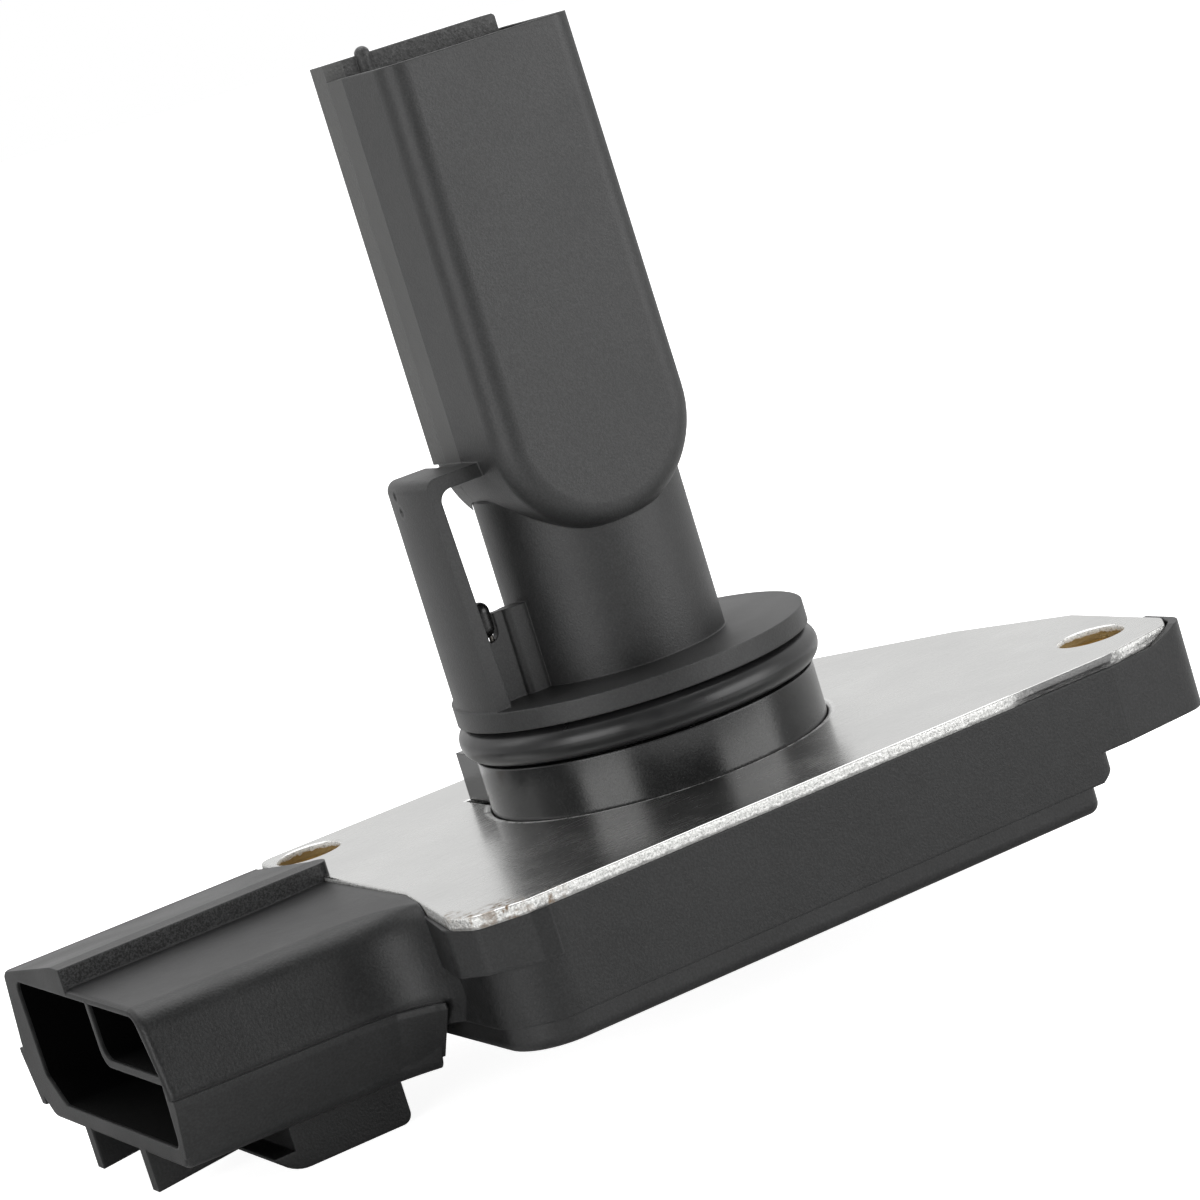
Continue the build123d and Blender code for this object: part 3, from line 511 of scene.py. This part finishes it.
# Base plate
# Blanked from 1 mm aluminium sheet. The punch rolls the upper edge over, shears the top
# third of the thickness bright, and tears the rest, so each cut edge is ragged below.
roll_in = 0.13 * MM           # how far in the rolled edge starts
hole_roll = 2.3               # how much wider it is round the holes
rolled_steps = [(1.0, 0.0), (0.5, 0.03), (0.15, 0.08), (0.0, 0.14)]   # share of it, depth in mm
sheared_share = 0.42          # part of the thickness that is sheared
sheared_wave = 0.13
tear_depth = 0.05 * MM
tear_lip, tear_sag, tear_foot = 0.07 * MM, 0.05 * MM, 0.06 * MM
smear_x = (17.0 * MM, 27.5 * MM)      # stretch of the near edge that the punch smeared over
smear_behind_y = -25 * MM
smear_fade = 1.5 * MM
smear_undercut = 0.34 * MM
smear_rolled_steps = [(1.0, 0.0), (0.5, 0.012), (0.15, 0.04), (0.0, 0.1)]
smear_steps = [(0.0, 0.5), (0.15, 0.58), (0.7, 0.66), (1.0, 0.75), (1.0, 1.0)]
edge_step = 0.16 * MM         # spacing of the points along a cut edge
fewest_points = 16


def cut_outlines(source):
    """Closed outlines of a plate's top face, outer one first, as lists of plan points."""
    bm = bmesh.new()
    bm.from_mesh(source.data)
    bmesh.ops.remove_doubles(bm, verts=bm.verts, dist=1e-7)
    follow = {}
    for face in bm.faces:
        if face.normal.z < 0.99:
            continue
        for loop in face.loops:
            others = [f for f in loop.edge.link_faces if f is not face]
            if all(f.normal.z < 0.99 for f in others):
                start, end = loop.vert, loop.link_loop_next.vert
                follow[start.index] = (start.co.xy.copy(), end.index)
    outlines = []
    while follow:
        first = min(follow)
        at, points = first, []
        while at in follow:
            place, following = follow.pop(at)
            points.append(place)
            at = following
        outlines.append(points)
    bm.free()
    return sorted(outlines, key=lambda pts: -max(p.length for p in pts))


def even_points(points, step):
    """The same closed outline with its points evenly spaced."""
    lengths = [(points[i] - points[i - 1]).length for i in range(len(points))]
    count = max(fewest_points, round(sum(lengths) / step))
    step = sum(lengths) / count
    made, walked, index = [], 0.0, 0
    start, end = points[-1], points[0]
    for k in range(count):
        target = k * step
        while walked + lengths[index] < target - 1e-12:
            walked += lengths[index]
            index += 1
            start, end = points[index - 1], points[index]
        share = (target - walked) / max(lengths[index], 1e-12)
        made.append(start.lerp(end, share))
    return made


def edge_wave(x, y, layer, length):
    """Smooth wander along the edge with the given wave length in mm."""
    return noise.noise(Vector((x, y, layer)) / (length * MM))


def edge_profile(x, y, top, bottom, roll):
    """Steps down one cut edge at a place in plan, as (distance in from the edge, height)."""
    thick = top - bottom
    if smear_x[0] < x < smear_x[1] and y < smear_behind_y:
        fade = min(1.0, min(x - smear_x[0], smear_x[1] - x) / smear_fade)
        under = smear_undercut * fade * (1.0 + 0.4 * edge_wave(x, y, 11, 2.2))
        rolled = [(roll_in * share, top - depth * MM) for share, depth in smear_rolled_steps]
        return rolled + [(under * share, top - thick * deep) for share, deep in smear_steps]
    wave = edge_wave(x, y, 0, 1.3) + 0.6 * edge_wave(x, y, 7, 0.35)
    tear = edge_wave(x, y, 3, 0.28)
    deep = edge_wave(x, y, 5, 0.5)
    sheared = top - thick * (sheared_share + sheared_wave * wave)
    rolled = [(roll * share, top - depth * MM) for share, depth in rolled_steps]
    torn = [
        (0.7 + 0.6 * tear, sheared - tear_lip),
        (1.0 + 0.9 * deep, (sheared + bottom) / 2 - tear_sag),
        (0.6 + 0.9 * tear, bottom + tear_foot),
        (1.1, bottom),
    ]
    return rolled + [(0.0, sheared)] + [(tear_depth * share, z) for share, z in torn]


def hole_places(source):
    """Middle of each bush at the plate's top face, right-hand bush first."""
    low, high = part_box(source)
    points = [v.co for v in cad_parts[source].data.vertices]
    made = []
    for right_hand in (True, False):
        side = [p for p in points if (p.x > (low.x + high.x) / 2) == right_hand]
        made.append(tuple((min(p[i] for p in side) + max(p[i] for p in side)) / 2
                          for i in (0, 1)) + (0.0,))
    return made


def stamped_plate(source):
    """Mesh of a stamped plate that follows the source's outlines."""
    low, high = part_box(source)
    bm = bmesh.new()
    sharp, caps = [], ([], [])
    for number, outline in enumerate(cut_outlines(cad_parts[source])):
        points = even_points(outline, edge_step)
        roll = roll_in * (hole_roll if number else 1.0)
        rings = []
        for i, point in enumerate(points):
            ahead = points[(i + 1) % len(points)] - points[i - 1]
            inward = Vector((-ahead.y, ahead.x)).normalized()
            column = []
            for run, z in edge_profile(point.x, point.y, high.z, low.z, roll):
                at = point + inward * run
                column.append(bm.verts.new((at.x, at.y, z)))
            rings.append(column)
        for i in range(len(rings)):
            here, following = rings[i - 1], rings[i]
            for k in range(len(here) - 1):
                face = bm.faces.new((here[k], here[k + 1], following[k + 1], following[k]))
                face.material_index = 1 if k >= 2 else 0
                face.smooth = True
            for k, cap in ((0, caps[0]), (len(here) - 1, caps[1])):
                edge = bm.edges.get((here[k], following[k]))
                cap.append(edge)
                sharp.append(edge)
    for edges in caps:
        bmesh.ops.triangle_fill(bm, use_beauty=True, use_dissolve=False, edges=edges)
    bmesh.ops.recalc_face_normals(bm, faces=bm.faces)
    for edge in sharp:
        edge.smooth = False
    mesh = bpy.data.meshes.new("mounting_plate")
    bm.to_mesh(mesh)
    bm.free()
    return mesh


screw_holes = [tuple(v / MM for v in hole) for hole in hole_places("screw_bushes")]
stain_places = [(-26.6, -25.2, 0.0, 0.8, 2.6), (-28.6, -24.2, -0.3, 0.5, 1.8),
                (-23.2, -26.2, -0.6, 0.3, 1.5), (-29.5, -21.6, -0.4, 0.3, 1.4)]
glue_brown = (0.2, 0.14, 0.09, 1)


def stained(tree, at, colour):
    """Brown glue stains at the plate's near left corner."""
    spots = None
    for x, y, z, inner, outer in stain_places:
        spot = near_point(tree, x, y, z, inner, outer)
        spots = spot if spots is None else math_node(tree, "MAXIMUM", spots, spot)
    patchy = ramp(tree, noise_value(tree, at, 1.4, 4.0, 0.65), 0.47, 0.62)
    spots = math_node(tree, "MULTIPLY", spots, patchy)
    return blend_colour(tree, spots, colour, glue_brown), spots


roll_marks = (0.05, 1.0, 1.0)         # share of the noise kept along each axis
sheet_grey, sheet_pale = (0.6, 0.6, 0.59, 1), (0.68, 0.68, 0.667, 1)
streak_grey, streak_share = (0.5, 0.5, 0.49, 1), 0.25
rim_highlight_radii = (14.25, 14.6)             # where the painted highlight round the hole is full and gone
rim_painted_highlight, rim_highlight_metallic, rim_highlight_roughness = (0.95, 0.95, 0.94, 1), 0.35, 0.2
notch_highlight_low, notch_highlight_high = (-12.0, 9.0, -1.2), (-8.5, 12.7, 0.1)
sheet_bump = 0.006 * MM


def rolled_sheet():
    """Top of the sheet: mill-rolled along its length, with faint scratches and smudges, and a painted
    highlight round the spigot's hole and the notch.
    """
    made, tree, shader = new_material("rolled sheet")
    at = place_in_mm(tree)
    stretched = node(tree, "ShaderNodeVectorMath", {"operation": "MULTIPLY"}, _0=at,
                     _1=roll_marks).outputs[0]
    lines = noise_value(tree, stretched, 7.0, 4.0, 0.65)
    broad = noise_value(tree, stretched, 1.2, 3.0, 0.6)
    smudge = noise_value(tree, at, 0.09, 4.0, 0.6)
    grit = noise_value(tree, at, 5.0, 3.0, 0.6)
    colour = blend_colour(tree, ramp(tree, smudge, 0.35, 0.7), sheet_grey, sheet_pale)
    streaks = math_node(tree, "MULTIPLY", ramp(tree, lines, 0.35, 0.65), streak_share)
    colour = blend_colour(tree, streaks, colour, streak_grey)
    colour, spots = stained(tree, at, colour)
    rough = math_node(tree, "ADD", ramp(tree, lines, 0.3, 0.7, 0.16, 0.28),
                      ramp(tree, smudge, 0.4, 0.7, 0.0, 0.08))
    # Painted highlight: white round the spigot's hole and in the notch.
    rim = near_point(tree, 0.0, 0.0, 0.0, *rim_highlight_radii)
    rim = math_node(tree, "MAXIMUM", rim, inside_box(tree, notch_highlight_low, notch_highlight_high))
    rim = math_node(tree, "MULTIPLY", rim, ramp(tree, noise_value(tree, at, 1.1, 3.0, 0.6),
                                                0.36, 0.56, 0.25, 1.0))
    colour = blend_colour(tree, rim, colour, rim_painted_highlight)
    rough = add_scaled(tree, rough, rim, rim_highlight_roughness)
    rough = add_scaled(tree, rough, spots, 0.3, True)
    height = add_scaled(tree, math_node(tree, "MULTIPLY", lines, 0.5), broad, 0.8)
    height = add_scaled(tree, height, grit, 0.25)
    bump = node(tree, "ShaderNodeBump", None, Distance=sheet_bump, Height=height)
    tree.links.new(ramp(tree, rim, 0.0, 1.0, 1.0, rim_highlight_metallic), shader.inputs["Metallic"])
    tree.links.new(colour, shader.inputs["Base Color"])
    tree.links.new(rough, shader.inputs["Roughness"])
    tree.links.new(bump.outputs[0], shader.inputs["Normal"])
    return made


sheared_grey, sheared_white = (0.45, 0.45, 0.44, 1), (0.92, 0.92, 0.9, 1)
torn_grey, torn_share, torn_from, torn_full = (0.16, 0.16, 0.155, 1), 0.75, -0.45, -0.62
dark_band_low, dark_band_high = (14.0, -27.0, -1.1), (30.0, -25.0, -0.03)
dark_band_starts, dark_band_ends = (18.5, 21.5), (30.5, 29.0)       # x where it is gone and full
near_edge_dark_grey, near_edge_dark_share = (0.13, 0.13, 0.13, 1), 0.9
hole_wall = (3.6, 3.8)                # radii that take in a screw hole's wall
chalk_white, brass_stain = (0.97, 0.97, 0.95, 1), (0.42, 0.3, 0.13, 1)
edge_metallic, chalk_metallic = 0.75, 0.15
pit_depth = 0.07 * MM


def cut_edge():
    """Sheared and torn edge of the sheet, pale and chalky inside the screw holes."""
    made, tree, shader = new_material("cut edge")
    at = place_in_mm(tree)
    crumbs = noise_value(tree, at, 5.5, 4.0, 0.7)
    coarse = noise_value(tree, at, 1.6, 3.0, 0.6)
    axes = node(tree, "ShaderNodeSeparateXYZ", None, _0=at).outputs
    colour = blend_colour(tree, ramp(tree, crumbs, 0.36, 0.58), sheared_grey, sheared_white)
    low = ramp(tree, add_scaled(tree, axes["Z"], coarse, 0.5), torn_from, torn_full, 0.0,
               torn_share)
    colour = blend_colour(tree, low, colour, torn_grey)
    # Darker along this stretch of the near edge.
    along = add_scaled(tree, axes["X"], coarse, 5.0)
    near_edge_dark = math_node(tree, "MULTIPLY", ramp(tree, along, *dark_band_starts),
                      ramp(tree, along, *dark_band_ends))
    near_edge_dark = math_node(tree, "MULTIPLY", near_edge_dark, inside_box(tree, dark_band_low, dark_band_high))
    colour = blend_colour(tree, math_node(tree, "MULTIPLY", near_edge_dark, near_edge_dark_share), colour,
                          near_edge_dark_grey)
    colour, spots = stained(tree, at, colour)
    hole = math_node(tree, "MAXIMUM", near_point(tree, *screw_holes[0], *hole_wall),
                     near_point(tree, *screw_holes[1], *hole_wall))
    chalky = blend_colour(tree, ramp(tree, crumbs, 0.34, 0.5), sheared_grey, chalk_white)
    brassy = ramp(tree, add_scaled(tree, axes["Z"], coarse, 0.6), -0.12, -0.2)
    chalky = blend_colour(tree, brassy, chalky, brass_stain)
    colour = blend_colour(tree, hole, colour, chalky)
    bump = node(tree, "ShaderNodeBump", None, Distance=pit_depth,
                Height=add_scaled(tree, crumbs, coarse, 1.2))
    tree.links.new(ramp(tree, hole, 0.0, 1.0, edge_metallic, chalk_metallic),
                   shader.inputs["Metallic"])
    tree.links.new(colour, shader.inputs["Base Color"])
    tree.links.new(ramp(tree, crumbs, 0.3, 0.7, 0.3, 0.55), shader.inputs["Roughness"])
    tree.links.new(bump.outputs[0], shader.inputs["Normal"])
    return made


plate = bpy.data.objects.new("mounting_plate", stamped_plate("base_plate"))
bpy.context.scene.collection.objects.link(plate)
plate.data.materials.append(rolled_sheet())
plate.data.materials.append(cut_edge())
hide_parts("base_plate")
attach(plate, "root")


# Floor and light
# Plain pale floor, two upright soft boxes with a gap between them, and a large soft box
# overhead and behind, in a pale studio.
floor_radius, floor_sides = 6.0, 96
floor_grey, floor_pale = (0.8, 0.8, 0.8, 1), (0.83, 0.83, 0.83, 1)
floor_cloud_per_mm = 0.004
floor_glow = 0.9              # how bright the floor looks by itself
floor_mesh = bpy.data.meshes.new("studio_floor")
bm = bmesh.new()
bmesh.ops.create_circle(bm, cap_ends=True, segments=floor_sides, radius=floor_radius)
bm.to_mesh(floor_mesh)
bm.free()
floor = bpy.data.objects.new("studio_floor", floor_mesh)
floor.location.z = cad_box[0].z
bpy.context.scene.collection.objects.link(floor)
pale, pale_tree, pale_shader = new_material("pale floor")
cloud = noise_value(pale_tree, place_in_mm(pale_tree), floor_cloud_per_mm, 2.0)
pale_tree.links.new(blend_colour(pale_tree, cloud, floor_grey, floor_pale),
                    pale_shader.inputs["Base Color"])
pale_shader.inputs["Roughness"].default_value = 0.9
looked_at = pale_tree.nodes.new("ShaderNodeLightPath").outputs["Is Camera Ray"]
pale_tree.links.new(math_node(pale_tree, "MULTIPLY", looked_at, floor_glow),
                    pale_shader.inputs["Emission Strength"])
pale_shader.inputs["Emission Color"].default_value = (1.0, 1.0, 1.0, 1)
floor.data.materials.append(pale)

camera_azimuth, camera_elevation, camera_roll = -24.67, 9.09, 17.14
camera_distance = 318.1 * MM
camera_target = Vector((-0.87, 0.0, 13.54)) * MM
turn, rise, roll = (math.radians(v) for v in (camera_azimuth, camera_elevation, camera_roll))
back = Vector((math.sin(turn) * math.cos(rise), -math.cos(turn) * math.cos(rise),
               math.sin(rise)))
right = (-back).cross(Vector((0, 0, 1))).normalized()
up = right.cross(-back)


def soft_box(title, bearing, height, distance, width, tall, radiance):
    """Area light aimed at the part, at a bearing in degrees to the right of the camera."""
    angle = turn + math.radians(bearing)
    place = Vector((math.sin(angle), -math.cos(angle), 0)) * distance
    place += Vector((0, 0, height))
    data = bpy.data.lights.new(title, "AREA")
    data.shape, data.size, data.size_y = "RECTANGLE", width, tall
    data.energy = radiance * math.pi * width * tall
    lamp = bpy.data.objects.new(title, data)
    lamp.location = place
    lamp.rotation_euler = (camera_target - place).to_track_quat("-Z", "Y").to_euler()
    bpy.context.scene.collection.objects.link(lamp)


soft_box("soft_box_left", bearing=-36, height=0.1, distance=0.62, width=0.38, tall=0.3,
         radiance=4.3)
soft_box("soft_box_right", bearing=62, height=0.12, distance=0.62, width=0.5, tall=0.36,
         radiance=3.8)
soft_box("soft_box_side", bearing=-98, height=0.36, distance=0.55, width=0.16, tall=0.3,
         radiance=2.7)
soft_box("soft_box_top", bearing=170, height=0.62, distance=0.16, width=0.7, tall=0.6,
         radiance=2.2)

glow_behind, glow_before = 0.88, 0.14         # the studio's light past and behind the camera
glow_from, glow_to = -0.5, 0.7                # cosines to the camera's line
world = bpy.data.worlds.new("studio")
world.use_nodes = True
bpy.context.scene.world = world
sky = world.node_tree
background = sky.nodes["Background"]
facing = node(sky, "ShaderNodeVectorMath", {"operation": "DOT_PRODUCT"},
              _0=sky.nodes.new("ShaderNodeTexCoord").outputs["Generated"], _1=tuple(back))
seen = sky.nodes.new("ShaderNodeLightPath").outputs["Is Camera Ray"]
glow = ramp(sky, facing.outputs["Value"], glow_from, glow_to, glow_behind, glow_before)
level = math_node(sky, "MAXIMUM", glow, seen)
sky.links.new(level, background.inputs["Strength"])
background.inputs["Color"].default_value = (1.0, 1.0, 1.0, 1)


# Camera
# Long lens at the photograph's bearing, height and roll. Its place and focal length were
# fitted to the plate's outline, the spigot's circles and the head's straight edges.
lens_mm, sensor_mm = 121.4, 36.0
nearest_seen, farthest_seen = 0.01, 50.0
camera_data = bpy.data.cameras.new("camera")
camera_data.lens = lens_mm
camera_data.sensor_width = sensor_mm
camera_data.clip_start, camera_data.clip_end = nearest_seen, farthest_seen
camera = bpy.data.objects.new("camera", camera_data)
camera.location = camera_target + back * camera_distance
side = right * math.cos(roll) - up * math.sin(roll)
top = right * math.sin(roll) + up * math.cos(roll)
camera.rotation_euler = Matrix((side, top, back)).transposed().to_euler()
bpy.context.scene.collection.objects.link(camera)
bpy.context.scene.camera = camera
bpy.context.scene.view_settings.view_transform = "Standard"
